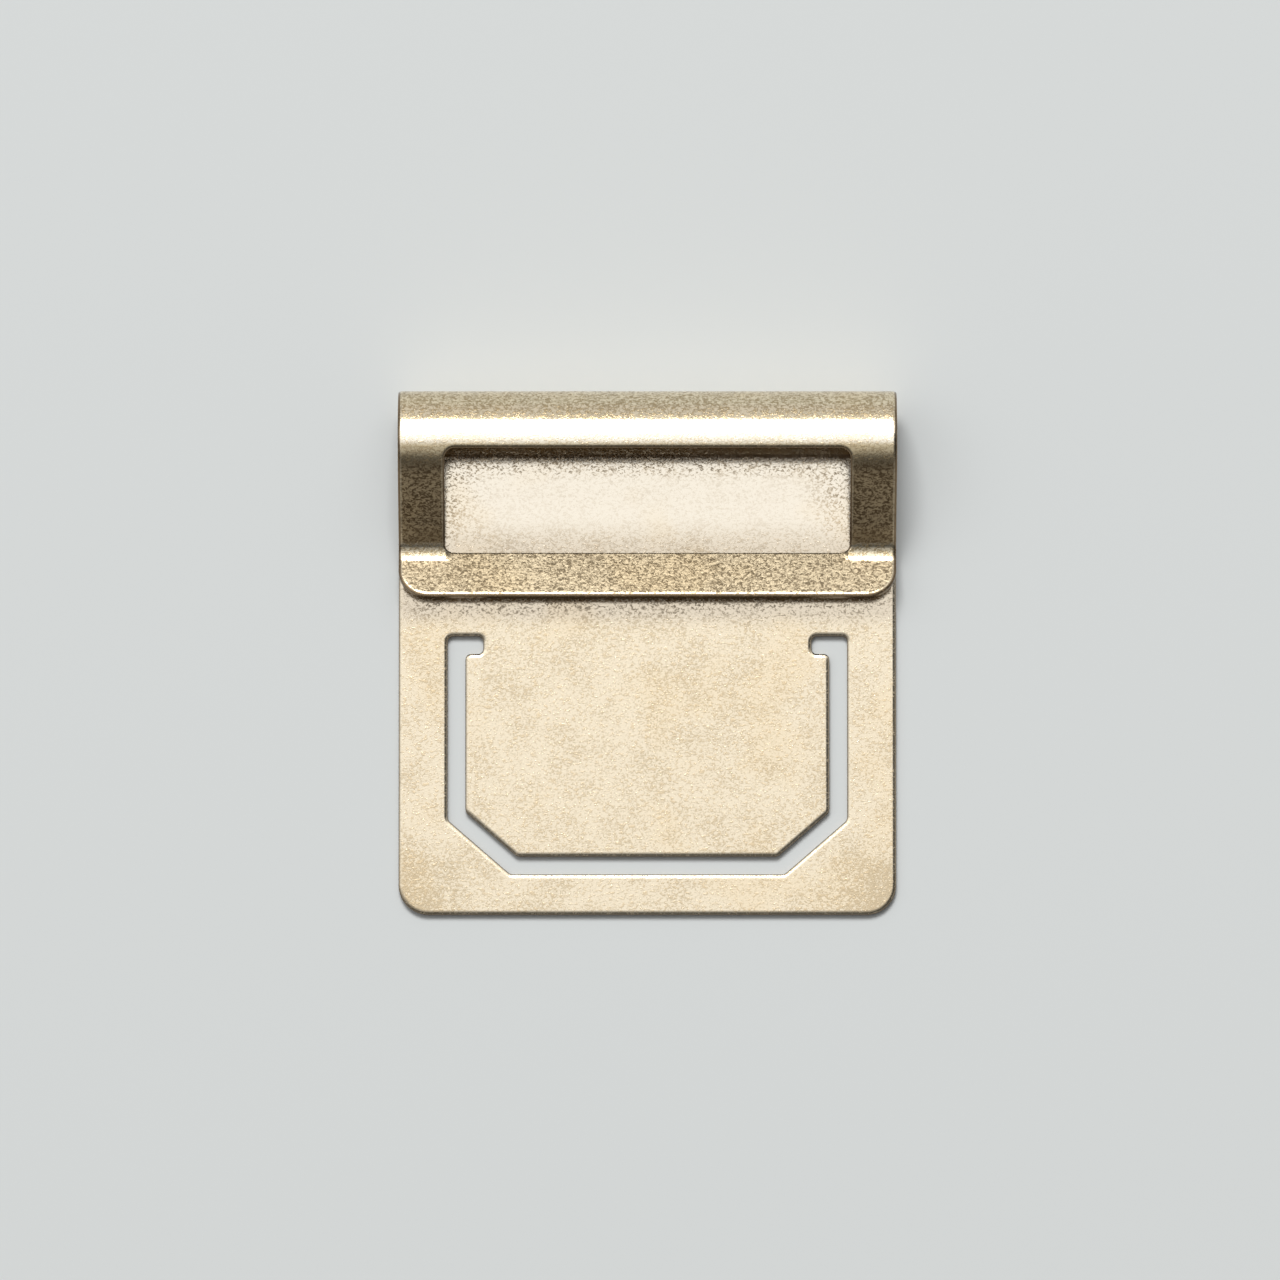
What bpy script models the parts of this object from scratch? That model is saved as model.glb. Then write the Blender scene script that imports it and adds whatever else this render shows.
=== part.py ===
"""Index clip: one brass sheet, stamped flat, rolled over at the top and folded into a windowed flap.

It lies on its back: X runs across it, +Y runs up it towards the roll, and +Z points out of its front.
The sheet is laid out flat with its openings and rounded edges, divided where it flexes, and then folded.
"""

import math
from collections import namedtuple

import bmesh
import bpy
from mathutils import Matrix, Vector

MM = 0.001

# The sheet
WIDTH = 25.0 * MM
LENGTH = 26.2 * MM
SHEET = 0.40 * MM
CORNER_RADIUS = 1.5 * MM
EDGE_ROUND = 0.17 * MM

# The slot that frees the tongue, and the outer loop round it
SIDE_BAND = 2.45 * MM
LOWER_BAND = 2.03 * MM
SLOT_WIDTH = 0.9 * MM
SLOT_TOP = 14.03 * MM
HOOK_LENGTH = 0.9 * MM
CHAMFER_RUN = 2.6 * MM
CHAMFER_RISE = 2.25 * MM
SLOT_CORNER = 0.28 * MM
CHAMFER_CORNER = 0.4 * MM

# The roll and the flap that hangs from it
ROLL_RADIUS = 2.6 * MM
STILE_SLOPE = math.radians(44.2)
LABEL_GAP = 0.50 * MM
BEND_RADIUS = 1.0 * MM
LIP_FLARE = math.radians(24.5)
LIP_LENGTH = 1.95 * MM
WINDOW_WIDTH = 20.35 * MM
WINDOW_CORNER = 0.52 * MM
WINDOW_START = math.radians(10.5)

# The gap left where the sheet is divided
SEAM = 0.10 * MM

# The brass
BRASS_COLOR = (0.79, 0.64, 0.38, 1.0)
BRASS_ROUGHNESS = 0.36

# Fineness of the round stretches
CORNER_STEP = math.radians(15.0)
FOLD_STEP = math.radians(7.5)
SHARP_ANGLE = math.radians(50.0)
EDGE_STEPS = 2

# Runs of the middle of the sheet, from the plate's lower edge to the lip's end
Run = namedtuple("Run", "length turn")

roll_middle = ROLL_RADIUS - SHEET / 2
roll_turn = math.pi + STILE_SLOPE
bend_middle = BEND_RADIUS + SHEET / 2
bend_turn = STILE_SLOPE + LIP_FLARE
bend_low = SHEET + LABEL_GAP + SHEET / 2
stile_top = ROLL_RADIUS + roll_middle * math.cos(STILE_SLOPE)
stile_foot = bend_low + bend_middle * (1 - math.cos(STILE_SLOPE))

plate_run = Run(LENGTH - ROLL_RADIUS, 0.0)
roll_run = Run(roll_middle * roll_turn, roll_turn)
stile_run = Run((stile_top - stile_foot) / math.sin(STILE_SLOPE), 0.0)
bend_run = Run(bend_middle * bend_turn, -bend_turn)
lip_run = Run(LIP_LENGTH, 0.0)
RUNS = (plate_run, roll_run, stile_run, bend_run, lip_run)

# Places along the flat sheet, and half widths across it
blank_end = sum(run.length for run in RUNS)
roll_start = plate_run.length
window_top = roll_start + roll_middle * (math.pi + WINDOW_START)
window_bottom = roll_start + roll_run.length + stile_run.length + bend_middle * STILE_SLOPE
flap_hinge = window_top + WINDOW_CORNER + SEAM
tongue_tip = LOWER_BAND + SLOT_WIDTH
tongue_shoulder = SLOT_TOP - SLOT_WIDTH
tongue_root = SLOT_TOP - SLOT_WIDTH / 2
tongue_half = WIDTH / 2 - SIDE_BAND - SLOT_WIDTH
neck_half = tongue_half - HOOK_LENGTH


def mirrored(right_half):
    """A whole outline, anticlockwise, from the corners of its right half listed from the bottom up."""
    left_half = [Vector((-corner.x, corner.y)) for corner in reversed(right_half)]
    return right_half + left_half


def moved_out(outline, distance):
    """An outline moved to the right of its direction by a distance, point for point."""
    moved = []
    for index, point in enumerate(outline):
        before = (point - outline[index - 1]).normalized()
        after = (outline[(index + 1) % len(outline)] - point).normalized()
        right = Vector((before.y + after.y, -before.x - after.x)).normalized()
        moved.append(point + right * distance / right.dot(Vector((after.y, -after.x))))
    return moved


def rounded(corners, radii):
    """An outline with an arc of its own radius at each corner."""
    points = []
    for index, corner in enumerate(corners):
        before = (corners[index - 1] - corner).normalized()
        after = (corners[(index + 1) % len(corners)] - corner).normalized()
        half_angle = before.angle(after) / 2
        turn = math.copysign(math.pi - 2 * half_angle, after.cross(before))
        centre = corner + (before + after).normalized() * radii[index] / math.sin(half_angle)
        arm = corner + before * radii[index] / math.tan(half_angle) - centre
        steps = math.ceil(abs(turn) / CORNER_STEP)
        points += [centre + Matrix.Rotation(turn * step / steps, 2) @ arm for step in range(steps + 1)]
    return points


def sheet_outline():
    """The outer edge of the flat sheet, anticlockwise."""
    corners = mirrored([Vector((WIDTH / 2, 0)), Vector((WIDTH / 2, blank_end))])
    return rounded(corners, [CORNER_RADIUS] * len(corners))


def window_outline():
    """The edge of the label window, clockwise as every hole is."""
    half = WINDOW_WIDTH / 2
    corners = mirrored([Vector((half, window_top)), Vector((half, window_bottom))])
    return rounded(corners, [WINDOW_CORNER] * len(corners))[::-1]


def tongue_corners():
    """The corners of the tongue up to its shoulders, anticlockwise."""
    foot = Vector((tongue_half - CHAMFER_RUN, tongue_tip))
    chamfer_top = Vector((tongue_half, tongue_tip + CHAMFER_RISE))
    return mirrored([foot, chamfer_top, Vector((tongue_half, tongue_shoulder))])


def slot_outline():
    """The edge of the slot, clockwise: the tongue's edge, a hook at each end, and the loop's inner edge."""
    foot, chamfer, shoulder, left_shoulder, left_chamfer, left_foot = tongue_corners()
    outer_edge = moved_out(tongue_corners(), SLOT_WIDTH)
    right_hook = [Vector((neck_half, SLOT_TOP)), Vector((neck_half, tongue_shoulder))]
    left_hook = [Vector((-neck_half, tongue_shoulder)), Vector((-neck_half, SLOT_TOP))]
    tongue_edge = [shoulder, chamfer, foot, left_foot, left_chamfer, left_shoulder]
    corners = outer_edge[4:] + outer_edge[:3] + right_hook + tongue_edge + left_hook + outer_edge[3:4]
    radii = [CHAMFER_CORNER] * 4 + [SLOT_CORNER] * 4 + [CHAMFER_CORNER] * 4 + [SLOT_CORNER] * 4
    return rounded(corners, radii)[::-1]


def edge_levels():
    """The levels of a rounded edge, from the back face to the front: how far in from the outline, how high."""
    low = []
    for step in range(EDGE_STEPS + 1):
        turn = math.pi / 2 * step / EDGE_STEPS
        low.append((EDGE_ROUND * (1 - math.sin(turn)), EDGE_ROUND * (1 - math.cos(turn)) - SHEET / 2))
    high = [(inset, -height) for inset, height in reversed(low)]
    return low + high


def flat_sheet():
    """The stamped sheet before folding, closed and with rounded edges. Its middle lies at height 0."""
    sheet = bmesh.new()
    for outline in (sheet_outline(), window_outline(), slot_outline()):
        rings = []
        for inset, height in edge_levels():
            points = moved_out(outline, -inset)
            rings.append([sheet.verts.new((point.x, point.y, height)) for point in points])
        for low, high in zip(rings, rings[1:]):
            for index in range(len(outline)):
                sheet.faces.new((low[index - 1], low[index], high[index], high[index - 1]))
    # The fill merges points closer than a fixed distance, so it works in millimetres
    bmesh.ops.scale(sheet, vec=Vector((1, 1, 1)) / MM, verts=sheet.verts)
    for side in (-1, 1):
        rim = [edge for edge in sheet.edges if edge.is_boundary and edge.verts[0].co.z * side > 0]
        bmesh.ops.triangle_fill(sheet, use_beauty=True, edges=rim, normal=(0, 0, side))
    bmesh.ops.scale(sheet, vec=Vector((1, 1, 1)) * MM, verts=sheet.verts)
    bmesh.ops.recalc_face_normals(sheet, faces=sheet.faces)
    return sheet


def cut_across(sheet, place, removed=0):
    """Scores the flat sheet across at a place. With removed set, what lies that way along it is taken off."""
    everything = sheet.verts[:] + sheet.edges[:] + sheet.faces[:]
    bmesh.ops.bisect_plane(
        sheet,
        geom=everything,
        dist=SEAM / 1000,
        plane_co=(0, place, 0),
        plane_no=(0, removed or 1, 0),
        clear_outer=bool(removed),
    )


def folded(point):
    """Where a point of the flat sheet lands when the sheet is folded."""
    y, z, heading, left = -LENGTH / 2, SHEET / 2, 0.0, point.y
    for run in RUNS:
        step = min(left, run.length)
        turned = heading + run.turn * step / run.length
        if run.turn:
            radius = run.length / run.turn
            y += radius * (math.sin(turned) - math.sin(heading))
            z -= radius * (math.cos(turned) - math.cos(heading))
        else:
            y += step * math.cos(heading)
            z += step * math.sin(heading)
        heading = turned
        left -= step
    return Vector((point.x, y - point.z * math.sin(heading), z + point.z * math.cos(heading)))


def folded_portion(sheet, start, end):
    """A copy of the flat sheet between two places, closed where it is cut, and folded."""
    portion = sheet.copy()
    cut_across(portion, start, removed=-1)
    cut_across(portion, end, removed=1)
    bmesh.ops.holes_fill(portion, edges=portion.edges, sides=0)
    bmesh.ops.recalc_face_normals(portion, faces=portion.faces)
    run_start = 0.0
    for run in RUNS:
        steps = math.ceil(abs(run.turn) / FOLD_STEP)
        for step in range(steps + 1):
            place = run_start + run.length * step / max(steps, 1)
            if start < place < end:
                cut_across(portion, place)
        run_start += run.length
    for vertex in portion.verts:
        vertex.co = folded(vertex.co)
    return portion


def brass(name):
    """A tumbled brass finish of a piece's own."""
    material = bpy.data.materials.new(name + "_brass")
    material.use_nodes = True
    material.diffuse_color = BRASS_COLOR
    shader = material.node_tree.nodes["Principled BSDF"]
    shader.inputs["Base Color"].default_value = BRASS_COLOR
    shader.inputs["Metallic"].default_value = 1.0
    shader.inputs["Roughness"].default_value = BRASS_ROUGHNESS
    return material


def add_piece(name, solid, origin, parent):
    """An object made of a solid, with its origin at a point and a finish of its own."""
    mesh = bpy.data.meshes.new(name)
    solid.to_mesh(mesh)
    solid.free()
    mesh.transform(Matrix.Translation(-origin))
    mesh.materials.append(brass(name))
    mesh.shade_smooth()
    mesh.set_sharp_from_angle(angle=SHARP_ANGLE)
    piece = bpy.data.objects.new(name, mesh)
    piece.location = origin
    piece.parent = parent
    bpy.context.scene.collection.objects.link(piece)
    return piece


def tongue_cutter(name, top):
    """A hidden block round the tongue, with its sides along the middle of the slot and its top at a place."""
    outline = moved_out(tongue_corners(), SLOT_WIDTH / 2)
    outline[2].y = outline[3].y = top
    block = bmesh.new()
    base = block.faces.new([block.verts.new((point.x, point.y - LENGTH / 2, -SHEET)) for point in outline])
    raised = bmesh.ops.extrude_face_region(block, geom=[base])["geom"]
    lifted = [item for item in raised if isinstance(item, bmesh.types.BMVert)]
    bmesh.ops.translate(block, vec=(0, 0, 3 * SHEET), verts=lifted)
    bmesh.ops.recalc_face_normals(block, faces=block.faces)
    mesh = bpy.data.meshes.new(name)
    block.to_mesh(mesh)
    block.free()
    cutter = bpy.data.objects.new(name, mesh)
    cutter.hide_render = True
    cutter.display_type = "WIRE"
    bpy.context.scene.collection.objects.link(cutter)
    return cutter


def cut_with(piece, cutter, operation):
    """Cuts a piece with a cutter."""
    cut = piece.modifiers.new("tongue_cut", "BOOLEAN")
    cut.operation = operation
    cut.solver = "EXACT"
    cut.object = cutter


def main():
    for old in list(bpy.data.objects):
        bpy.data.objects.remove(old, do_unlink=True)
    clip = bpy.data.objects.new("index_clip", None)
    bpy.context.scene.collection.objects.link(clip)

    sheet = flat_sheet()
    gap = SEAM / 2
    centre = Vector((0, 0, 0))
    root_line = folded(Vector((0, tongue_root, 0)))
    hinge_line = folded(Vector((0, flap_hinge, 0)))

    plate = add_piece("back_plate", folded_portion(sheet, -gap, roll_start - gap), centre, clip)
    cut_with(plate, tongue_cutter("tongue_opening", tongue_root + gap), "DIFFERENCE")
    tongue = add_piece("spring_tongue", folded_portion(sheet, -gap, roll_start - gap), root_line, clip)
    cut_with(tongue, tongue_cutter("tongue_block", tongue_root - gap), "INTERSECT")
    add_piece("top_roll", folded_portion(sheet, roll_start + gap, flap_hinge - gap), centre, clip)
    add_piece("window_frame", folded_portion(sheet, flap_hinge + gap, blank_end + gap), hinge_line, clip)
    sheet.free()


main()
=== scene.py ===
"""The index clip as photographed: a tumbled brass sheet clip that lies on its back on pale paper.

The sheet is laid out flat and finely, as it was stamped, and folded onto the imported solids.
Lengths are in metres and places in the solids' frame.
"""

import math
from collections import namedtuple

import bmesh
import bpy
from mathutils import Matrix, Vector


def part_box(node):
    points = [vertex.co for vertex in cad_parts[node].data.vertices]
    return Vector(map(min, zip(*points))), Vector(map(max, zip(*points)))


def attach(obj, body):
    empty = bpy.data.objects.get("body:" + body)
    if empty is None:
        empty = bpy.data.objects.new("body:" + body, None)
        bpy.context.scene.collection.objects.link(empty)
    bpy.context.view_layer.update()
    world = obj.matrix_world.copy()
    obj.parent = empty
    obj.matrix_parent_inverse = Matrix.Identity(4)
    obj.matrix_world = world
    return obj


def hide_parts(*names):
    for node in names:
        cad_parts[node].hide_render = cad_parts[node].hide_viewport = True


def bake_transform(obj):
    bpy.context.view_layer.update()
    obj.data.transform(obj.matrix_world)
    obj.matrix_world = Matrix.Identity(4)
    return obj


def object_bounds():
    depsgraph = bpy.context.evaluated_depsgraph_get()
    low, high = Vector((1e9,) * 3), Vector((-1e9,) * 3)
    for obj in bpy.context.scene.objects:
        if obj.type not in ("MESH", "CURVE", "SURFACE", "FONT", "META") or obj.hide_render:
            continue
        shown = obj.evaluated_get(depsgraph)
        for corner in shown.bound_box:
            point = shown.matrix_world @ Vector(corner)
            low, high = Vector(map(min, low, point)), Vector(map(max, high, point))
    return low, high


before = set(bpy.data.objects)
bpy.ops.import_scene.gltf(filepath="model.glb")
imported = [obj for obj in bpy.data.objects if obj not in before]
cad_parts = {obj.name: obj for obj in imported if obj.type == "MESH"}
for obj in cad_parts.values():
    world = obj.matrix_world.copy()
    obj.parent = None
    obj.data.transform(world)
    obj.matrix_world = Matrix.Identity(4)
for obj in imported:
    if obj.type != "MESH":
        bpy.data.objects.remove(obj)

# A run of the sheet has a length and turns by an angle. A ramp eases from low to high between two values
Run = namedtuple("Run", "length turn")
Ramp = namedtuple("Ramp", "start end low high", defaults=(0.0, 1.0))
# A skin has tones of its own on the front or the back of the sheet, where it reaches along it; most skins
# paint in light or shade. It adds to the roughness, and multiplies the relief and the reflection at grazing
# angles
Tones = namedtuple("Tones", "bright brown")
Skin = namedtuple("Skin", "tones reach rougher relief grazing front", defaults=(0.0, 1.0, 1.0, True))

MM = 0.001
cad_low, cad_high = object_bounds()
tongue_low, tongue_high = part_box("spring_tongue")

# The sheet, with the solids' own sizes, and the roll-off of its sheared edges
WIDTH = cad_high.x - cad_low.x
LENGTH = cad_high.y - cad_low.y
SHEET = tongue_high.z - tongue_low.z
CORNER_RADIUS = 1.5 * MM
EDGE_RADIUS = 0.34 * MM
WINDOW_EDGE_RADIUS = 0.28 * MM
RAIL_EDGE_RADIUS = 0.10 * MM
EDGE_TURN = math.radians(40.0)

# The slot that frees the tongue
SIDE_BAND = 2.45 * MM
LOWER_BAND = 2.03 * MM
SLOT_WIDTH = 0.9 * MM
SLOT_TOP = 14.03 * MM
HOOK_LENGTH = 0.9 * MM
CHAMFER_RUN = 2.6 * MM
CHAMFER_RISE = 2.25 * MM
SLOT_CORNER = 0.28 * MM
CHAMFER_CORNER = 0.4 * MM

# The roll and the flap that hangs from it
ROLL_RADIUS = cad_high.z / 2
STILE_SLOPE = math.radians(44.2)
LABEL_GAP = 0.50 * MM
BEND_RADIUS = 1.0 * MM
LIP_FLARE = math.radians(24.5)
LIP_LENGTH = 1.94 * MM
WINDOW_WIDTH = 20.35 * MM
WINDOW_CORNER = 0.52 * MM
WINDOW_START = math.radians(10.0)
# The rail under the window is not bent: the bend dies out over this width beside each stile
BEND_FADE = 0.35 * MM

# Fineness of the mesh
CORNER_STEP = math.radians(6.0)
FOLD_STEP = math.radians(2.5)
BEND_STEP = 0.5 * MM
EDGE_STEPS = 7
FADE_STEPS = 8
CAP_MARGIN = 0.02 * MM
CUT_TOLERANCE = 0.00002 * MM
SHARP_ANGLE = math.radians(35.0)

# Which way the front of a piece faces while the sheet lies flat
FRONT_UP = 1
FRONT_DOWN = -1

# Runs of the middle of the sheet, from the plate's lower edge to the lip's end
roll_middle = ROLL_RADIUS - SHEET / 2
roll_turn = math.pi + STILE_SLOPE
bend_middle = BEND_RADIUS + SHEET / 2
bend_turn = STILE_SLOPE + LIP_FLARE
bend_low = SHEET + LABEL_GAP + SHEET / 2
stile_top = ROLL_RADIUS + roll_middle * math.cos(STILE_SLOPE)
stile_foot = bend_low + bend_middle * (1 - math.cos(STILE_SLOPE))

plate_run = Run(LENGTH - ROLL_RADIUS, 0.0)
roll_run = Run(roll_middle * roll_turn, roll_turn)
stile_run = Run((stile_top - stile_foot) / math.sin(STILE_SLOPE), 0.0)
bend_run = Run(bend_middle * bend_turn, -bend_turn)
lip_run = Run(LIP_LENGTH, 0.0)
RUNS = (plate_run, roll_run, stile_run, bend_run, lip_run)

# Places along the flat sheet, and half widths across it
blank_end = sum(run.length for run in RUNS)
roll_start = plate_run.length
flap_seam = roll_start - SHEET
stile_start = roll_start + roll_run.length + SHEET / 2
lip_start = blank_end - LIP_LENGTH
bend_start = lip_start - bend_run.length
roll_crest = roll_start + roll_middle * math.pi
window_top = roll_start + roll_middle * (math.pi + WINDOW_START)
window_bottom = lip_start - bend_middle * LIP_FLARE
window_half = WINDOW_WIDTH / 2
tongue_tip = LOWER_BAND + SLOT_WIDTH
tongue_shoulder = SLOT_TOP - SLOT_WIDTH
tongue_root = SLOT_TOP - SLOT_WIDTH / 2
tongue_half = WIDTH / 2 - SIDE_BAND - SLOT_WIDTH
neck_half = tongue_half - HOOK_LENGTH

# Grain of the tumbled brass: curled scuffs with dents between them, soft patches, and wide warmer patches
GRAIN_STRETCH = (0.75, 1.0, 1.0)
CURL_SIZE = 0.13 * MM
CURL_DETAIL = 3.0
CURL_SWIRL = 1.0
CURL_CRESTS = Ramp(0.52, 0.66)
CREST_ROUGHNESS = 0.25
BROWN_SPREAD = 0.10
DENT_SIZE = 0.10 * MM
DENT_DETAIL = 1.0
DENT_ROUGHNESS = Ramp(0.3, 0.7, 0.10, 0.16)
PATCH_SIZE = 1.6 * MM
PATCH_DETAIL = 3.0
PATCH_LOW = 0.35
PATCH_HIGH = 0.68
WARM_SIZE = 4.5 * MM
WARM_DETAIL = 2.0
WARM_SHARE = Ramp(0.50, 0.66, 0.0, 0.45)
WARM_TINT = (1.0, 0.95, 0.86, 1)
NEUTRAL = (1.0, 1.0, 1.0, 1)

# The grain is browner at the lower corners, by the place along the plate and the distance from its middle
CORNER_ALONG = Ramp(4.6 * MM, 0.1 * MM, 0.0, 0.18)
CORNER_ASIDE = Ramp(7.5 * MM, 12.5 * MM)

# The grain is fainter amid the window and under the roll: less relief, and fewer brown scuffs, so that the
# painted highlight in the window is paler and the painted shadow under the roll is smooth
GRAIN_FADE = Ramp(0.0, 1.0, 1.0, 0.3)
WINDOW_ASIDE = Ramp(10.2 * MM, 7.0 * MM)
window_lower = Ramp(18.2 * MM, 20.2 * MM)
window_upper = Ramp(roll_start - 0.8 * MM, roll_start - 2.0 * MM)
roll_shade = Ramp(roll_start - 0.60 * MM, roll_start - 0.50 * MM)
roll_foot = Ramp(roll_start + SHEET, roll_start)

# Faces and edges of the sheet: edges are rubbed bright in front, and painted in shade where they are sheared
FRONT_FACE = Ramp(0.5, 0.9)
BACK_FACE = Ramp(0.5, 0.1)
RUBBED_EDGE = Ramp(0.45, 0.75, 0.0, 0.8)
# The painted shade on the sheared walls: its colour, how soon it sets in, and how much of it
WALL_SHADE = (0.20, 0.135, 0.075, 1)
WALL_SHADE_SPREAD = 0.2
WALL_SHADE_SHARE = 0.9

# Tones of the brass, between its scuffs and in them. Besides the plate's and the flap's own, they are
# painted light or shade on parts of the sheet
FRESH = Tones((0.86, 0.755, 0.58, 1), (0.61, 0.50, 0.34, 1))
# Painted shade: the plate darker and greyer from just below the lip's end, under the flap
PLATE_UNDER_LIP_SHADE = Tones((0.73, 0.64, 0.51, 1), (0.47, 0.395, 0.295, 1))
# Painted highlight: the plate paler and whiter behind the window, where its skin is also a little smoother
WINDOW_HIGHLIGHT = Tones((0.87, 0.80, 0.68, 1), (0.60, 0.50, 0.365, 1))
SHADED = Tones((0.60, 0.49, 0.35, 1), (0.52, 0.41, 0.28, 1))
# Painted highlight: a bright tone on the bend at the stiles' foot, which is also smoother
BEND_HIGHLIGHT = Tones((1.0, 0.88, 0.66, 1), (0.50, 0.39, 0.23, 1))
WEATHERED = Tones((0.93, 0.81, 0.60, 1), (0.47, 0.37, 0.225, 1))
# Painted highlight: a paler, whiter tone on the roll's crest, where its highlight lies
CREST_HIGHLIGHT = Tones((1.0, 0.94, 0.81, 1), (0.80, 0.69, 0.52, 1))
# Painted shade: a darker, more saturated tone just past the roll's crest, where it turns from the light
WARM = Tones((0.96, 0.81, 0.54, 1), (0.62, 0.49, 0.30, 1))
# Painted shade: dark stiles, standing in for the dim room that they reflect
STILE_SHADE = Tones((0.40, 0.31, 0.19, 1), (0.13, 0.09, 0.048, 1))
# Painted shade, lighter: the lower part of the stiles
STILE_FOOT_SHADE = Tones((0.54, 0.418, 0.252, 1), (0.22, 0.155, 0.084, 1))
# Painted shade: the flared lip darker
FLARED_LIP_SHADE = Tones((0.36, 0.297, 0.20, 1), (0.13, 0.101, 0.063, 1))
# Painted shade: dark brass inside the roll and under the flap
INSIDE_SHADE = Tones((0.24, 0.175, 0.105, 1), (0.14, 0.10, 0.057, 1))

# Skins of the plate from below the lip to the roll, and of the flap from the roll to the lip. On the plate
# they paint shade under the lip, a highlight behind the window and a shadow under the roll's edge; on the
# flap a highlight on the roll's crest, shade past it, on the stiles, on the lip and inside, and a highlight
# on the bend
PLATE_SKINS = (
    Skin(PLATE_UNDER_LIP_SHADE, Ramp(14.2 * MM, 15.4 * MM), relief=0.9),
    Skin(WINDOW_HIGHLIGHT, window_lower, rougher=-0.02, relief=0.7),
    Skin(SHADED, roll_shade),
)
FLAP_SKINS = (
    Skin(CREST_HIGHLIGHT, Ramp(roll_crest - 1.0 * MM, roll_crest - 0.4 * MM), relief=0.8),
    Skin(WARM, Ramp(roll_crest + 0.05 * MM, roll_crest + 0.35 * MM)),
    Skin(STILE_SHADE, Ramp(window_top, window_top + 0.95 * MM), rougher=0.25, relief=1.8, grazing=0.25),
    Skin(STILE_FOOT_SHADE, Ramp(window_bottom - 2.2 * MM, window_bottom - 1.2 * MM), grazing=0.6),
    Skin(BEND_HIGHLIGHT, Ramp(window_bottom - 0.75 * MM, window_bottom - 0.5 * MM)),
    Skin(BEND_HIGHLIGHT, Ramp(window_bottom - 0.7 * MM, window_bottom - 0.4 * MM), rougher=-0.25, relief=0.7),
    Skin(FLARED_LIP_SHADE, Ramp(lip_start - 0.2 * MM, lip_start), rougher=0.15, grazing=0.25),
    Skin(
        INSIDE_SHADE, Ramp(roll_start, roll_start + 2.0 * MM),
        rougher=0.25, relief=0.5, grazing=0.35, front=False,
    ),
)

# The paper under the clip
PAPER_COLOR = (0.63, 0.65, 0.645, 1.0)
PAPER_ROUGHNESS = 0.9
PAPER_SPECULAR = 0.1
PAPER_HALF = 1.0

# The softbox, between angles from straight up to the right and to the back
LAMP_RIGHT = (math.radians(-16.0), math.radians(5.0))
LAMP_BACK = (math.radians(24.0), math.radians(45.7))
LAMP_DISTANCE = 1.6
LAMP_RADIANCE = 16.7

# The glow round the softbox, by angles to the back and to the right, above the level of the whole room
ROOM_LEVEL = 0.09
FRONT_GLOW = Ramp(math.radians(-40), math.radians(-18), 0.0, 0.35)
UPPER_GLOW = Ramp(math.radians(-17), math.radians(12), 0.0, 0.80)
BACK_END = Ramp(math.radians(30), math.radians(60), 1.0, 0.2)
LEFT_END = Ramp(math.radians(-75), math.radians(-35))
RIGHT_END = Ramp(math.radians(28), math.radians(6))
RIGHT_WIDENING = Ramp(0.0, math.radians(60), 0.0, math.radians(-36))

# The pale horizon that shows in the brass, by height, and how much higher it reaches at the back
HORIZON = Ramp(0.58, 0.28, 0.0, 0.35)
HORIZON_RISE = Ramp(0.0, math.radians(25), 0.0, 0.3)

# The photograph is square and looks almost straight down on the plate
PHOTO_SIDE = 1280
PLATE_PIXELS = 497
PHOTO_CENTRE = Vector((-0.372, 0.735)) * MM
CAMERA_DISTANCE = 0.8
CAMERA_LEAN = math.radians(4.0)
SENSOR_WIDTH = 36


def smooth(share):
    """Eases a share from 0 to 1."""
    share = min(max(share, 0.0), 1.0)
    return share * share * (3 - 2 * share)


def mirrored(right_half):
    """A whole outline, anticlockwise, from the corners of its right half listed from the bottom up."""
    left_half = [Vector((-corner.x, corner.y)) for corner in reversed(right_half)]
    return right_half + left_half


def moved_out(outline, distance):
    """An outline moved to the right of its direction by a distance, point for point."""
    moved = []
    for index, point in enumerate(outline):
        before = (point - outline[index - 1]).normalized()
        after = (outline[(index + 1) % len(outline)] - point).normalized()
        right = Vector((before.y + after.y, -before.x - after.x)).normalized()
        moved.append(point + right * distance / right.dot(Vector((after.y, -after.x))))
    return moved


def rounded(corners, radii):
    """An outline with an arc of its own radius at each corner."""
    points = []
    for index, corner in enumerate(corners):
        before = (corners[index - 1] - corner).normalized()
        after = (corners[(index + 1) % len(corners)] - corner).normalized()
        half_angle = before.angle(after) / 2
        turn = math.copysign(math.pi - 2 * half_angle, after.cross(before))
        centre = corner + (before + after).normalized() * radii[index] / math.sin(half_angle)
        arm = corner + before * radii[index] / math.tan(half_angle) - centre
        steps = math.ceil(abs(turn) / CORNER_STEP)
        points += [centre + Matrix.Rotation(turn * step / steps, 2) @ arm for step in range(steps + 1)]
    return points


def sheet_outline():
    """The outer edge of the flat sheet, anticlockwise."""
    corners = mirrored([Vector((WIDTH / 2, 0)), Vector((WIDTH / 2, blank_end))])
    return rounded(corners, [CORNER_RADIUS] * len(corners))


def window_outline():
    """The edge of the label window, clockwise as every hole is."""
    corners = mirrored([Vector((window_half, window_top)), Vector((window_half, window_bottom))])
    return rounded(corners, [WINDOW_CORNER] * len(corners))[::-1]


def tongue_corners():
    """The corners of the tongue up to its shoulders, anticlockwise."""
    foot = Vector((tongue_half - CHAMFER_RUN, tongue_tip))
    chamfer_top = Vector((tongue_half, tongue_tip + CHAMFER_RISE))
    return mirrored([foot, chamfer_top, Vector((tongue_half, tongue_shoulder))])


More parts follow.
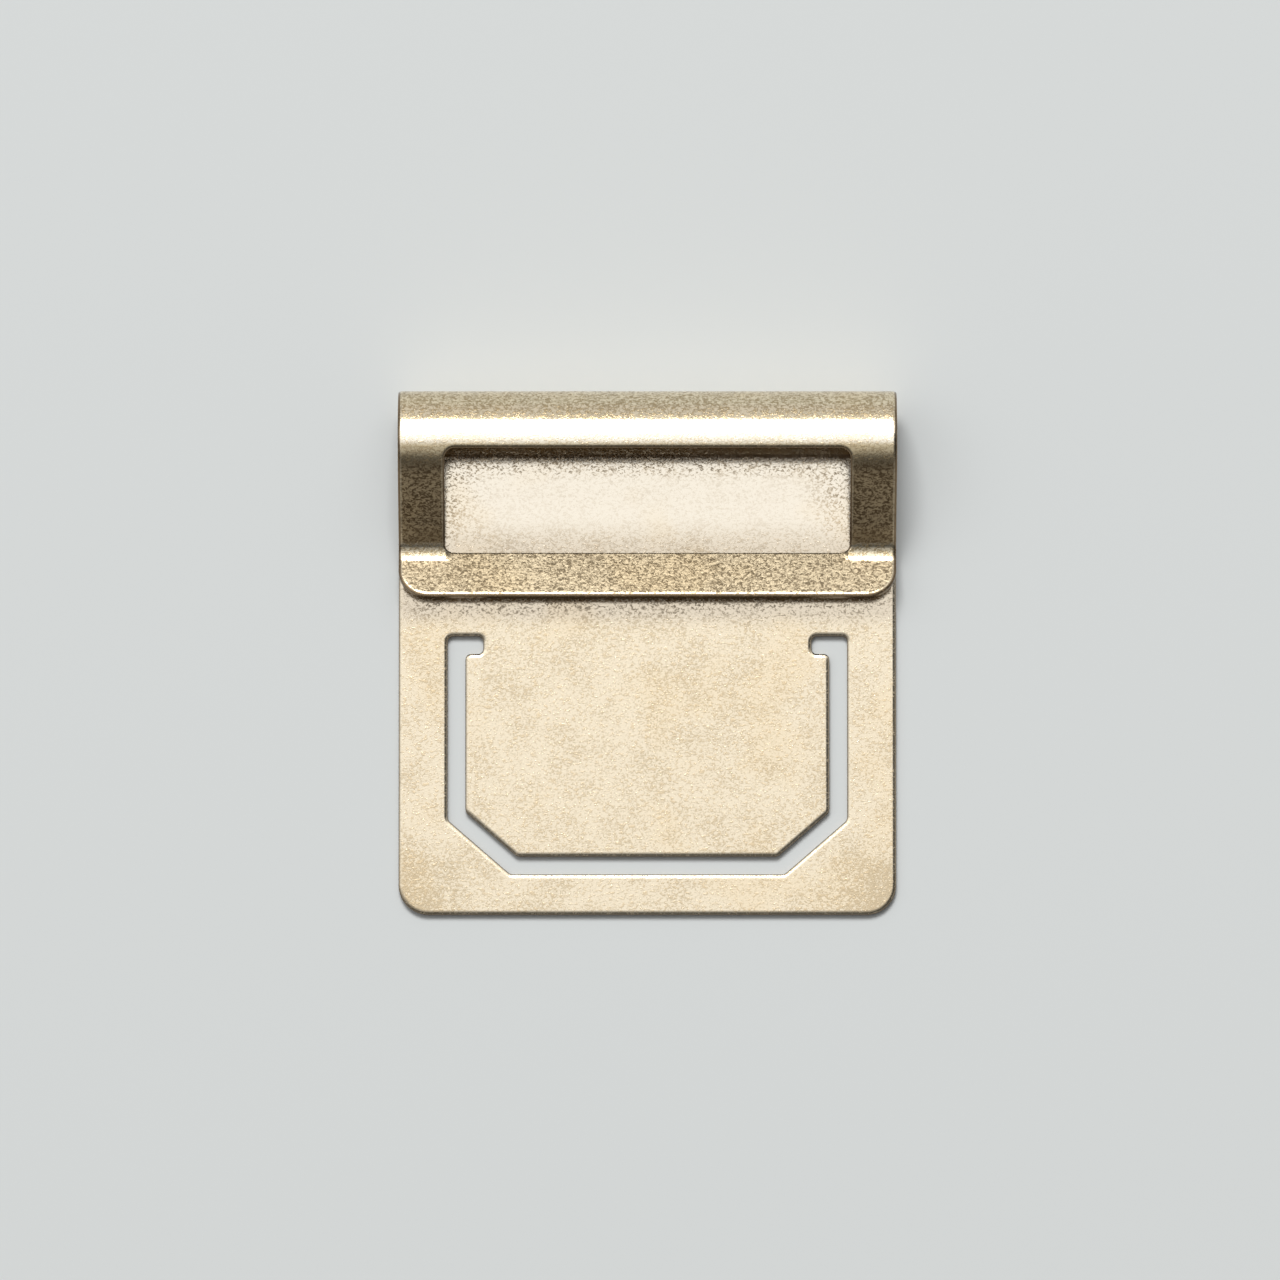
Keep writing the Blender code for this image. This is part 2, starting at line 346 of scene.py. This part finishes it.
def slot_outline():
    """The edge of the slot, clockwise: the tongue's edge, a hook at each end, and the loop's inner edge."""
    foot, chamfer, shoulder, left_shoulder, left_chamfer, left_foot = tongue_corners()
    outer_edge = moved_out(tongue_corners(), SLOT_WIDTH)
    right_hook = [Vector((neck_half, SLOT_TOP)), Vector((neck_half, tongue_shoulder))]
    left_hook = [Vector((-neck_half, tongue_shoulder)), Vector((-neck_half, SLOT_TOP))]
    tongue_edge = [shoulder, chamfer, foot, left_foot, left_chamfer, left_shoulder]
    corners = outer_edge[4:] + outer_edge[:3] + right_hook + tongue_edge + left_hook + outer_edge[3:4]
    radii = ([CHAMFER_CORNER] * 4 + [SLOT_CORNER] * 4) * 2
    return rounded(corners, radii)[::-1]


def window_edge_radius(point):
    """The roll-off at a point of the window's edge, which is sharper along the rail below."""
    share = smooth((point.y - window_bottom) / WINDOW_CORNER + 1)
    return WINDOW_EDGE_RADIUS + share * (RAIL_EDGE_RADIUS - WINDOW_EDGE_RADIUS)


def edge_levels(radius):
    """The levels of a sheared edge from the lower face to the upper: how far in, how high, how worn and
    shaded.
    """
    breadth = radius * math.sin(EDGE_TURN)
    low = [(breadth + CAP_MARGIN, -SHEET / 2, 0.0)]
    for step in range(EDGE_STEPS + 1):
        turn = EDGE_TURN * step / EDGE_STEPS
        height = radius * (1 - math.cos(turn)) - SHEET / 2
        low.append((breadth - radius * math.sin(turn), height, turn / EDGE_TURN))
    high = [(inset, -height, edge_wear_and_shade) for inset, height, edge_wear_and_shade in reversed(low)]
    return low + high


def flat_sheet():
    """The stamped sheet before folding, closed and with sheared edges. Its middle lies at height 0."""
    sheet = bmesh.new()
    wear_and_shade_layer = sheet.verts.layers.float.new("edge_wear_and_shade")
    window = window_outline()
    edges = [(outline, [EDGE_RADIUS] * len(outline)) for outline in (sheet_outline(), slot_outline())]
    edges.append((window, [window_edge_radius(point) for point in window]))
    for outline, radii in edges:
        inwards = [inner - point for inner, point in zip(moved_out(outline, -1.0), outline)]
        rings = []
        for levels in zip(*[edge_levels(radius) for radius in radii]):
            ring = []
            for point, inward, (inset, height, edge_wear_and_shade) in zip(outline, inwards, levels):
                vertex = sheet.verts.new((*(point + inward * inset), height))
                vertex[wear_and_shade_layer] = edge_wear_and_shade
                ring.append(vertex)
            rings.append(ring)
        for low, high in zip(rings, rings[1:]):
            for index in range(len(outline)):
                sheet.faces.new((low[index - 1], low[index], high[index], high[index - 1]))
    # The fill merges points closer than a fixed distance, so it works in millimetres
    bmesh.ops.scale(sheet, vec=Vector((1, 1, 1)) / MM, verts=sheet.verts)
    for side in (-1, 1):
        rim = [edge for edge in sheet.edges if edge.is_boundary and edge.verts[0].co.z * side > 0]
        bmesh.ops.triangle_fill(sheet, use_beauty=True, edges=rim, normal=(0, 0, side))
    bmesh.ops.scale(sheet, vec=Vector((1, 1, 1)) * MM, verts=sheet.verts)
    bmesh.ops.recalc_face_normals(sheet, faces=sheet.faces)
    return sheet


def score(sheet, place, direction):
    """Divides the faces of the flat sheet along a line through a place."""
    everything = sheet.verts[:] + sheet.edges[:] + sheet.faces[:]
    bmesh.ops.bisect_plane(sheet, geom=everything, dist=CUT_TOLERANCE, plane_co=place, plane_no=direction)


def score_for_folding(sheet):
    """Divides the flat sheet finely wherever it is folded or split into pieces, and all along the tongue."""
    across = [flap_seam, stile_start, tongue_root]
    across += [tongue_tip + BEND_STEP * step for step in range(1, int(tongue_root / BEND_STEP))]
    run_start = plate_run.length
    for run in RUNS[1:]:
        steps = max(math.ceil(abs(run.turn) / FOLD_STEP), math.ceil(run.length / BEND_STEP))
        across += [run_start + run.length * step / steps for step in range(steps + 1)]
        run_start += run.length
    for place in across:
        score(sheet, (0, place, 0), (0, 1, 0))
    for step in range(FADE_STEPS + 1):
        for side in (-1, 1):
            place = side * (window_half - BEND_FADE * step / FADE_STEPS)
            score(sheet, (place, 0, 0), (1, 0, 0))


def on_path(place, height):
    """Where a place along the sheet lands when it is folded, at a height square to the sheet's middle."""
    y = -LENGTH / 2
    z = SHEET / 2
    heading = 0.0
    left = place
    for run in RUNS:
        step = min(left, run.length)
        turned = heading + run.turn * step / run.length
        if run.turn:
            radius = run.length / run.turn
            y += radius * (math.sin(turned) - math.sin(heading))
            z -= radius * (math.cos(turned) - math.cos(heading))
        else:
            y += step * math.cos(heading)
            z += step * math.sin(heading)
        heading = turned
        left -= step
    return Vector((0, y - height * math.sin(heading), z + height * math.cos(heading)))


def rail_share(point):
    """How far a point of the flat sheet lies in the rail under the window, where nothing holds the bend."""
    if not window_bottom - WINDOW_CORNER < point.y < lip_start:
        return 0.0
    return smooth((window_half - abs(point.x)) / BEND_FADE)


def folded(point):
    """Where a point of the flat sheet lands when the sheet is folded. The rail runs on flat from the lip."""
    lip_foot = on_path(lip_start, point.z)
    lip_end = on_path(blank_end, point.z)
    flat = lip_foot + (lip_end - lip_foot) * (point.y - lip_start) / LIP_LENGTH
    landed = on_path(point.y, point.z).lerp(flat, rail_share(point))
    landed.x = point.x
    return landed


def in_tongue(point):
    """Whether a point of the flat sheet lies on the tongue's side of the middle of the slot."""
    half_slot = SLOT_WIDTH / 2
    if not tongue_tip - half_slot < point.y < tongue_root or abs(point.x) > tongue_half + half_slot:
        return False
    right = abs(point.x) - tongue_half
    below = tongue_tip + CHAMFER_RISE - point.y
    past_chamfer = (right * CHAMFER_RISE + below * CHAMFER_RUN) / math.hypot(CHAMFER_RUN, CHAMFER_RISE)
    return past_chamfer < half_slot


def in_panel(point):
    """Whether a point of the flat sheet lies on the plate, but not on the tongue."""
    return point.y < flap_seam and not in_tongue(point)


def in_roll(point):
    """Whether a point of the flat sheet lies on the roll."""
    return flap_seam < point.y < stile_start


def in_flap(point):
    """Whether a point of the flat sheet lies on the flap below the roll."""
    return point.y > stile_start


def add_piece(name, sheet, keeps, front_side, material):
    """An object made of the faces of the flat sheet that are kept, closed where they are cut, and folded."""
    portion = sheet.copy()
    others = [face for face in portion.faces if not keeps(face.calc_center_median())]
    bmesh.ops.delete(portion, geom=others, context="FACES")
    cut = [edge for edge in portion.edges if edge.is_boundary]
    bmesh.ops.holes_fill(portion, edges=cut, sides=0)
    bmesh.ops.recalc_face_normals(portion, faces=portion.faces)
    along = portion.verts.layers.float.new("along")
    front = portion.verts.layers.float.new("front")
    for vertex in portion.verts:
        # The rail counts as the lip's end, so that it has the lip's skin
        vertex[along] = vertex.co.y + (blank_end - vertex.co.y) * rail_share(vertex.co)
        vertex[front] = 0.5 + front_side * vertex.co.z / SHEET
        vertex.co = folded(vertex.co)
    mesh = bpy.data.meshes.new(name)
    portion.to_mesh(mesh)
    portion.free()
    mesh.materials.append(material)
    mesh.shade_smooth()
    mesh.set_sharp_from_angle(angle=SHARP_ANGLE)
    piece = bpy.data.objects.new(name, mesh)
    bpy.context.scene.collection.objects.link(piece)
    return piece


def add_node(tree, kind, inputs, **settings):
    """A shader node with its settings made, and each input linked to a socket or set to a value."""
    made = tree.nodes.new("ShaderNode" + kind)
    for setting, value in settings.items():
        setattr(made, setting, value)
    for name, value in inputs.items():
        if isinstance(value, bpy.types.NodeSocket):
            tree.links.new(value, made.inputs[name])
        else:
            made.inputs[name].default_value = value
    return made


def attribute(tree, name):
    """A value kept at the points of the mesh."""
    return add_node(tree, "Attribute", {}, attribute_name=name).outputs["Fac"]


def combined(tree, operation, first, second):
    """Two values put together by a sum, product or the like."""
    return add_node(tree, "Math", {0: first, 1: second}, operation=operation).outputs[0]


def product(tree, first, *others):
    """Several values multiplied."""
    result = first
    for other in others:
        result = combined(tree, "MULTIPLY", result, other)
    return result


def scaled_sum(tree, value, factor, added):
    """A value times a factor, plus another."""
    return add_node(tree, "Math", {0: value, 1: factor, 2: added}, operation="MULTIPLY_ADD").outputs[0]


def ramped(tree, value, ramp):
    """A value eased along a ramp."""
    limits = {
        "Value": value,
        "From Min": ramp.start,
        "From Max": ramp.end,
        "To Min": ramp.low,
        "To Max": ramp.high,
    }
    return add_node(tree, "MapRange", limits, interpolation_type="SMOOTHSTEP").outputs["Result"]


def speckle(tree, place, size, detail, swirl=0.0):
    """Noise with specks of about a size, drawn out into curls by a swirl."""
    inputs = {"Vector": place, "Scale": 1 / size, "Detail": detail, "Distortion": swirl}
    return add_node(tree, "TexNoise", inputs).outputs["Fac"]


def mixed(tree, share, first, second, blend="MIX"):
    """A colour with a share of another mixed in, or multiplied in."""
    made = add_node(tree, "Mix", {0: share, 6: first, 7: second}, data_type="RGBA", blend_type=blend)
    return made.outputs[2]


def liveliness(tree, along, aside):
    """How strong the grain is: full but for the plate amid the window and under the roll."""
    lower = ramped(tree, along, window_lower)
    upper = ramped(tree, along, window_upper)
    amid = product(tree, lower, upper, ramped(tree, aside, WINDOW_ASIDE))
    faded_places = scaled_sum(tree, ramped(tree, along, roll_shade), ramped(tree, along, roll_foot), amid)
    return ramped(tree, faded_places, GRAIN_FADE)


def brass(name, tones, skins, depth, onset, patchiness, wall_shade_onset):
    """Tumbled brass: curled scuffs over dents, soft patches, skins of other tones that paint light and
    shade, and worn edges.

    The relief has a depth. Curls above the onset are brown, more or less so by the patchiness, and edges
    beyond the wall shade's onset, towards their sheared walls, are painted in shade.
    """
    material = bpy.data.materials.new(name)
    material.use_nodes = True
    tree = material.node_tree
    shader = tree.nodes["Principled BSDF"]
    place = add_node(tree, "TexCoord", {}).outputs["Object"]
    stretched = add_node(tree, "Mapping", {"Vector": place, "Scale": GRAIN_STRETCH}).outputs["Vector"]
    right = add_node(tree, "SeparateXYZ", {"Vector": place}).outputs["X"]
    aside = combined(tree, "ABSOLUTE", right, 0.0)
    along = attribute(tree, "along")
    front = attribute(tree, "front")
    edge_wear_and_shade = attribute(tree, "edge_wear_and_shade")
    curls = speckle(tree, stretched, CURL_SIZE, CURL_DETAIL, CURL_SWIRL)
    dents = speckle(tree, place, DENT_SIZE, DENT_DETAIL)
    lively = liveliness(tree, along, aside)

    # How brown the scuffs are: more so in soft patches and at the lower corners
    patches = speckle(tree, place, PATCH_SIZE, PATCH_DETAIL)
    cloud = ramped(tree, patches, Ramp(PATCH_LOW, PATCH_HIGH, -patchiness, patchiness))
    corners = product(tree, ramped(tree, aside, CORNER_ASIDE), ramped(tree, along, CORNER_ALONG))
    browned = combined(tree, "ADD", curls, combined(tree, "ADD", cloud, corners))
    scuffs = ramped(tree, browned, Ramp(onset - BROWN_SPREAD, onset + BROWN_SPREAD))
    brownness = product(tree, scuffs, lively)

    # The relief: curls with steep sides, rough on top, and dents between them
    crests = product(tree, ramped(tree, curls, CURL_CRESTS), lively)
    height = scaled_sum(tree, dents, lively, crests)
    roughness = scaled_sum(tree, crests, CREST_ROUGHNESS, ramped(tree, dents, DENT_ROUGHNESS))

    # Each skin changes the color, the roughness and the relief where it lies; most colors are painted light
    # or shade
    color = mixed(tree, brownness, *tones)
    shares = []
    for skin in skins:
        face = ramped(tree, front, FRONT_FACE if skin.front else BACK_FACE)
        share = product(tree, ramped(tree, along, skin.reach), face)
        color = mixed(tree, share, color, mixed(tree, brownness, *skin.tones))
        roughness = scaled_sum(tree, share, skin.rougher, roughness)
        height = product(tree, height, ramped(tree, share, Ramp(0.0, 1.0, 1.0, skin.relief)))
        shares.append(share)

    # Some skins, all of them painted shade, reflect less at grazing angles too
    if any(skin.grazing < 1 for skin in skins):
        grazing = NEUTRAL
        for skin, share in zip(skins, shares):
            grazing = mixed(tree, share, grazing, (skin.grazing, skin.grazing, skin.grazing, 1))
        tree.links.new(grazing, shader.inputs["Specular Tint"])

    # Edges are worn, their sheared walls are painted in shade, and a warmer tint lies over wide patches
    rubbed = product(tree, edge_wear_and_shade, ramped(tree, front, RUBBED_EDGE))
    walls_shaded = ramped(tree, edge_wear_and_shade, Ramp(wall_shade_onset, wall_shade_onset + WALL_SHADE_SPREAD, 0.0, WALL_SHADE_SHARE))
    edged = mixed(tree, walls_shaded, mixed(tree, rubbed, color, tones.bright), WALL_SHADE)
    warmth = ramped(tree, speckle(tree, place, WARM_SIZE, WARM_DETAIL), WARM_SHARE)
    tinted = mixed(tree, warmth, edged, WARM_TINT, "MULTIPLY")
    bump = add_node(tree, "Bump", {"Height": height, "Distance": depth})
    tree.links.new(tinted, shader.inputs["Base Color"])
    tree.links.new(roughness, shader.inputs["Roughness"])
    tree.links.new(bump.outputs["Normal"], shader.inputs["Normal"])
    shader.inputs["Metallic"].default_value = 1.0
    return material


def paper():
    """The pale paper that the clip lies on."""
    material = bpy.data.materials.new("pale_paper")
    material.use_nodes = True
    shader = material.node_tree.nodes["Principled BSDF"]
    shader.inputs["Base Color"].default_value = PAPER_COLOR
    shader.inputs["Roughness"].default_value = PAPER_ROUGHNESS
    shader.inputs["Specular IOR Level"].default_value = PAPER_SPECULAR
    return material


def add_floor():
    """The sheet of paper under the clip, wider than the view."""
    mesh = bpy.data.meshes.new("paper_floor")
    corners = [(x * PAPER_HALF, y * PAPER_HALF, 0) for x, y in ((-1, -1), (1, -1), (1, 1), (-1, 1))]
    mesh.from_pydata(corners, [], [(0, 1, 2, 3)])
    mesh.materials.append(paper())
    floor = bpy.data.objects.new("paper_floor", mesh)
    bpy.context.scene.collection.objects.link(floor)


def add_softbox():
    """A soft rectangular lamp that faces the clip from above and behind."""
    right = sum(LAMP_RIGHT) / 2
    back = sum(LAMP_BACK) / 2
    lamp = bpy.data.lights.new("softbox", "AREA")
    lamp.shape = "RECTANGLE"
    lamp.size = 2 * LAMP_DISTANCE * math.tan(LAMP_RIGHT[1] - right)
    lamp.size_y = 2 * LAMP_DISTANCE * math.tan(LAMP_BACK[1] - back)
    lamp.energy = LAMP_RADIANCE * math.pi * lamp.size * lamp.size_y
    direction = Vector((math.tan(right), math.tan(back), 1)).normalized()
    softbox = bpy.data.objects.new("softbox", lamp)
    softbox.location = direction * LAMP_DISTANCE
    softbox.rotation_euler = direction.to_track_quat("Z", "Y").to_euler()
    bpy.context.scene.collection.objects.link(softbox)


def add_room():
    """A dim room with a glow above and behind the clip, and a pale horizon for the brass to reflect."""
    world = bpy.data.worlds.new("dim_room")
    world.use_nodes = True
    tree = world.node_tree
    direction = add_node(tree, "TexCoord", {}).outputs["Generated"]
    parts = add_node(tree, "SeparateXYZ", {"Vector": direction}).outputs
    back = combined(tree, "ARCTAN2", parts["Y"], parts["Z"])
    right = combined(tree, "ARCTAN2", parts["X"], parts["Z"])

    # The glow ends to the left and to the right, and reaches farther right towards the back
    leaning = combined(tree, "ADD", right, ramped(tree, back, RIGHT_WIDENING))
    rising = combined(tree, "ADD", ramped(tree, back, FRONT_GLOW), ramped(tree, back, UPPER_GLOW))
    sides = product(tree, ramped(tree, right, LEFT_END), ramped(tree, leaning, RIGHT_END))
    glow = product(tree, rising, ramped(tree, back, BACK_END), sides)
    level = combined(tree, "ADD", glow, ROOM_LEVEL)

    # The horizon is seen, also in the brass, but lights the paper only by way of the brass
    rays = add_node(tree, "LightPath", {}).outputs
    bounced = combined(tree, "MAXIMUM", rays["Is Glossy Ray"], rays["Is Transmission Ray"])
    seen = combined(tree, "MAXIMUM", rays["Is Camera Ray"], bounced)
    height = combined(tree, "SUBTRACT", parts["Z"], ramped(tree, back, HORIZON_RISE))
    strength = scaled_sum(tree, seen, ramped(tree, height, HORIZON), level)
    background = tree.nodes["Background"]
    background.inputs["Color"].default_value = NEUTRAL
    tree.links.new(strength, background.inputs["Strength"])
    bpy.context.scene.world = world


def add_camera():
    """A long lens nearly straight above, framed as the photograph is."""
    field = WIDTH * PHOTO_SIDE / PLATE_PIXELS
    camera = bpy.data.cameras.new("camera")
    camera.sensor_width = SENSOR_WIDTH
    camera.lens = SENSOR_WIDTH * CAMERA_DISTANCE / field
    holder = bpy.data.objects.new("camera", camera)
    lean = Matrix.Rotation(CAMERA_LEAN, 4, "X")
    target = Vector((PHOTO_CENTRE.x, PHOTO_CENTRE.y, SHEET))
    holder.matrix_world = Matrix.Translation(target + lean @ Vector((0, 0, CAMERA_DISTANCE))) @ lean
    bpy.context.scene.collection.objects.link(holder)
    bpy.context.scene.camera = holder


def main():
    """Folds the four pieces from one sheet, ties the panel and the roll to the clip's body, and sets the
    stage.
    """
    plate_metal = brass(
        "plate_brass", FRESH, PLATE_SKINS, depth=0.0016 * MM, onset=0.54, patchiness=0.035, wall_shade_onset=0.76
    )
    flap_metal = brass(
        "flap_brass", WEATHERED, FLAP_SKINS, depth=0.0028 * MM, onset=0.50, patchiness=0.015, wall_shade_onset=0.36
    )
    sheet = flat_sheet()
    score_for_folding(sheet)
    panel = add_piece("panel", sheet, in_panel, FRONT_UP, plate_metal)
    tongue = add_piece("tongue_blade", sheet, in_tongue, FRONT_UP, plate_metal)
    roll = add_piece("rolled_top", sheet, in_roll, FRONT_DOWN, flap_metal)
    flap = add_piece("label_frame", sheet, in_flap, FRONT_DOWN, flap_metal)
    sheet.free()

    for piece, node, slot in ((panel, "back_plate", "plate_brass"), (roll, "top_roll", "roll_brass")):
        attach(piece, "clip_body")
        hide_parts(node)
    root = folded(Vector((0, tongue_root, 0)))
    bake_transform(tongue)
    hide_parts("spring_tongue")
    top = folded(Vector((window_half, stile_start, 0)))
    foot = folded(Vector((window_half, bend_start, 0)))
    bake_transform(flap)
    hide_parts("window_frame")

    add_floor()
    add_softbox()
    add_room()
    add_camera()
    bpy.context.scene.view_settings.view_transform = "Standard"


main()
